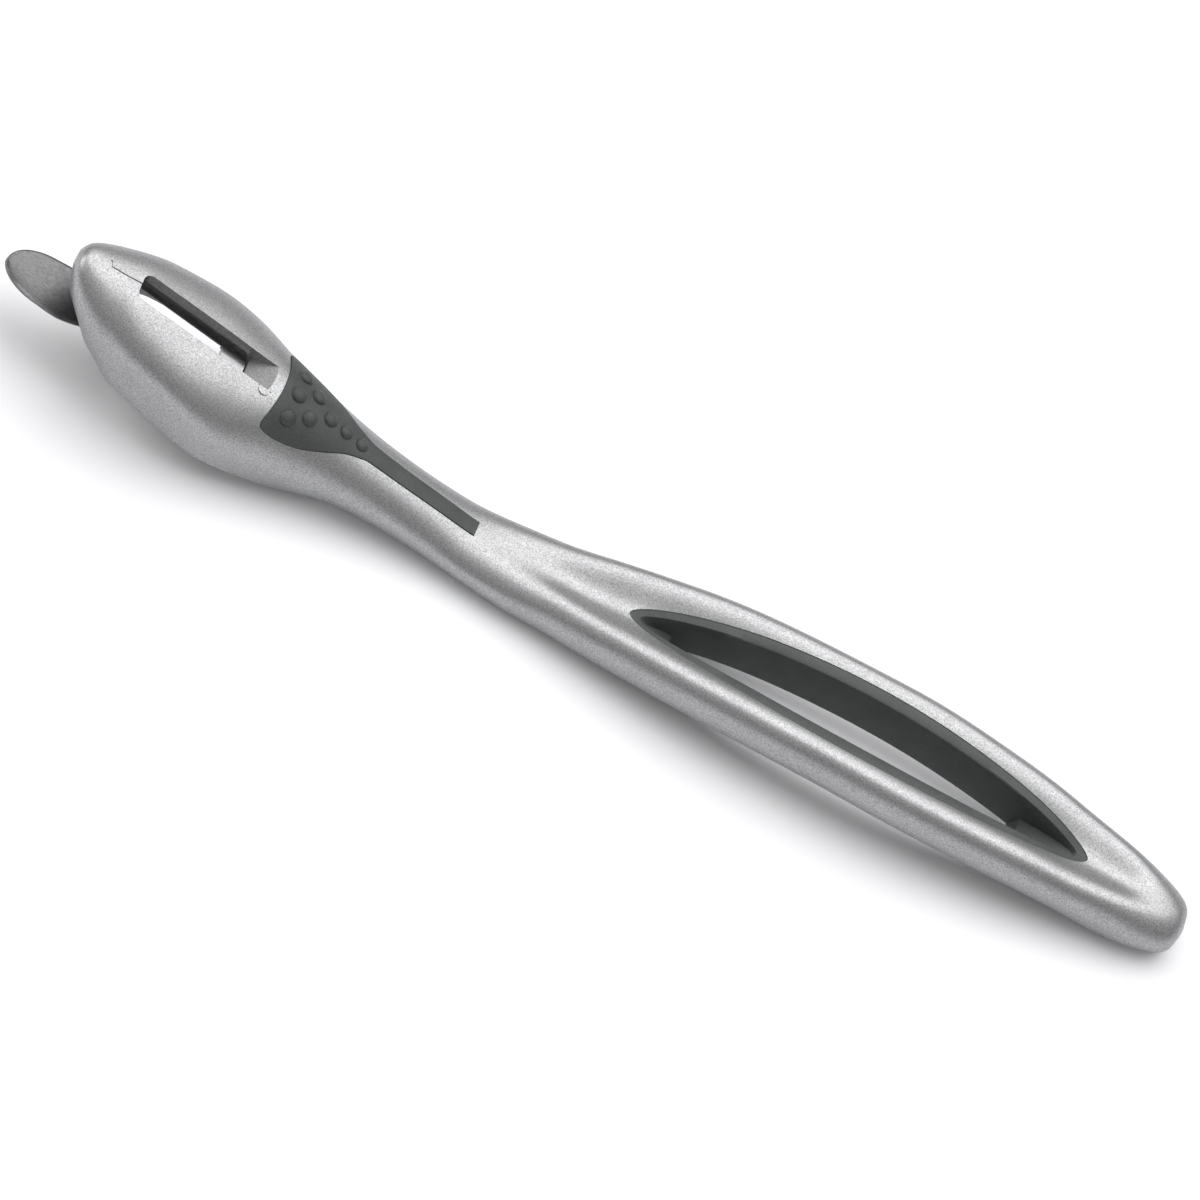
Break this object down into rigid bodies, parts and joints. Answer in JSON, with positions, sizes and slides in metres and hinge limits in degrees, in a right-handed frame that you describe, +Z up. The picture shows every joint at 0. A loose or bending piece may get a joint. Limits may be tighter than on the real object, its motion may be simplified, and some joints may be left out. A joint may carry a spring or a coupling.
{
  "type": "vegetable peeler",
  "caption": "Hooded in-line peeler: cast body with finger-loop handle, rubber thumb pad and loop liner, swivelling twin-edge blade and leaf-shaped eye scoop.",
  "frame": {"origin": "middle of the box round the tool, on the plane that it lies on", "axes": "+X from the nose and scoop to the tail, +Z up out of the crest; the tool is the same on its +Y and -Y sides"},
  "size_m": [0.2147, 0.024, 0.0237],
  "materials": {
    "cast_metal": "satin, bead-blasted",
    "rubber": "matt",
    "blade_steel": "dark satin",
    "pin_steel": "satin"
  },
  "bodies": {
    "body": {"body_casting": "cast_metal", "thumb_pad": "rubber", "grip_liner": "rubber", "front_pivot_pin": "pin_steel", "rear_pivot_pin": "pin_steel", "blade_stop_pin": "pin_steel", "eye_scoop": "blade_steel", "scoop_rivet_front": "pin_steel", "scoop_rivet_rear": "pin_steel"},
    "blade": {"swivel_blade": "blade_steel"}
  },
  "joints": [
    {"name": "blade_swivel", "type": "hinge", "parent": "body", "child": "blade", "pos_m": [-0.07616, 0, 0.01258], "axis": [0.9789, 0, -0.2045], "range_deg": [-15, 15]}
  ]
}
